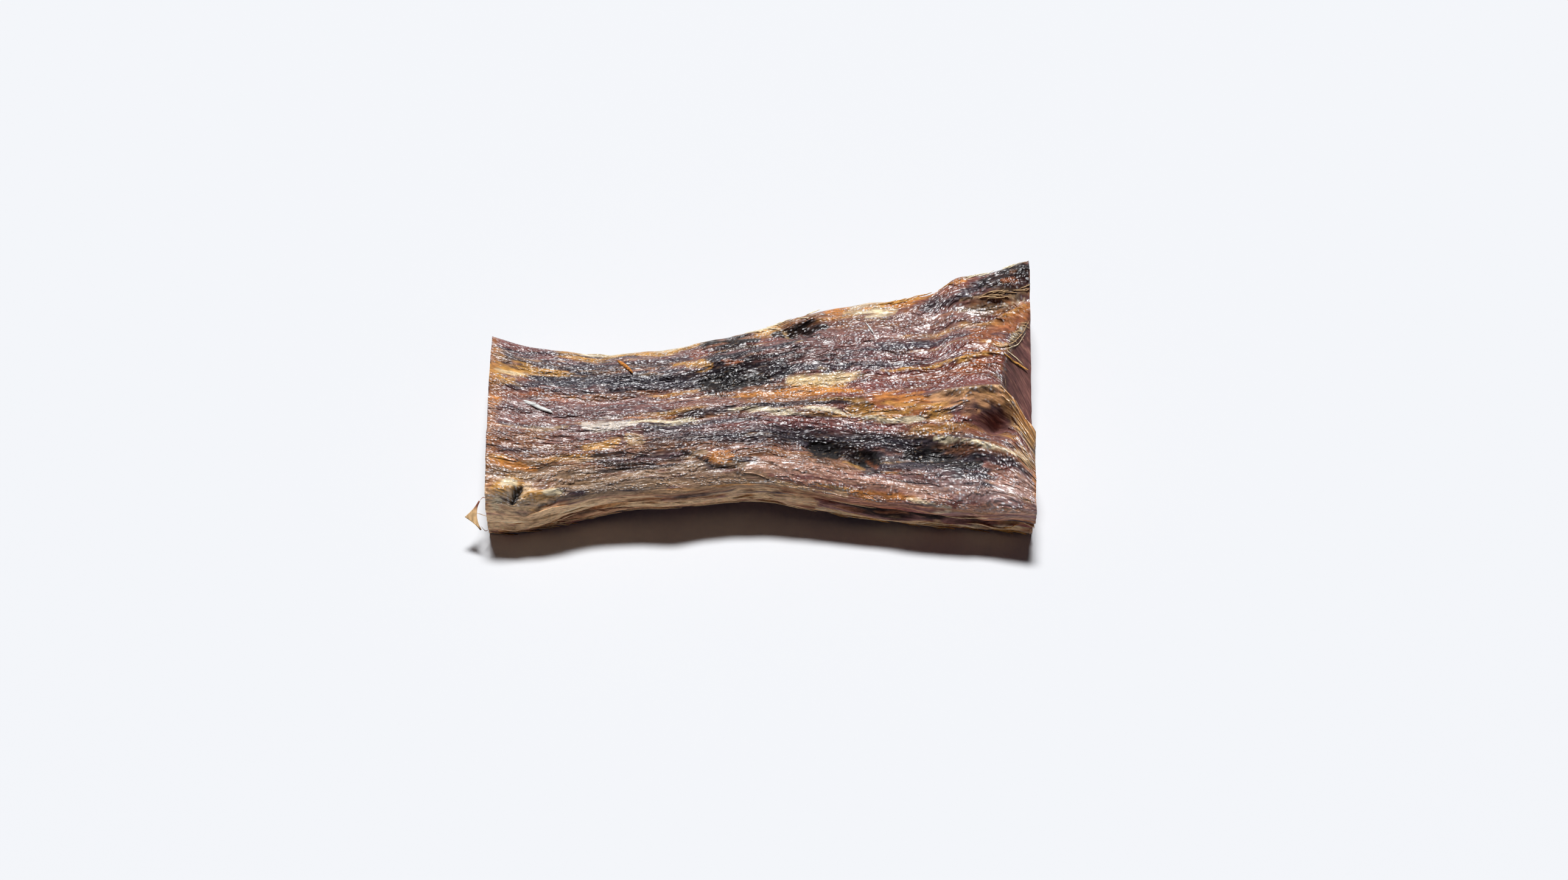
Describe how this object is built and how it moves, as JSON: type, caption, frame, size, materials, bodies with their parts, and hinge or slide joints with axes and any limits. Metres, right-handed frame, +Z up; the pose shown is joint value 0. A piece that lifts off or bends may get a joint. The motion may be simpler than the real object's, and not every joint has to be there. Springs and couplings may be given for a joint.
{
  "type": "piece of agarwood",
  "caption": "Small split and sawn stick of resin-dark heartwood, narrow at the waist and flared at one end, lying flat.",
  "frame": {"origin": "middle of the base of the bounding box, on the surface that the chip lies on", "axes": "+X along the grain towards the flared end, +Y towards the far side with the knob, +Z up"},
  "size_m": [0.026, 0.0129, 0.0044],
  "materials": {
    "resinous_wood": "split, glossy with dark resin"
  },
  "bodies": {
    "root": {"agarwood_chip": "resinous_wood"}
  },
  "joints": []
}
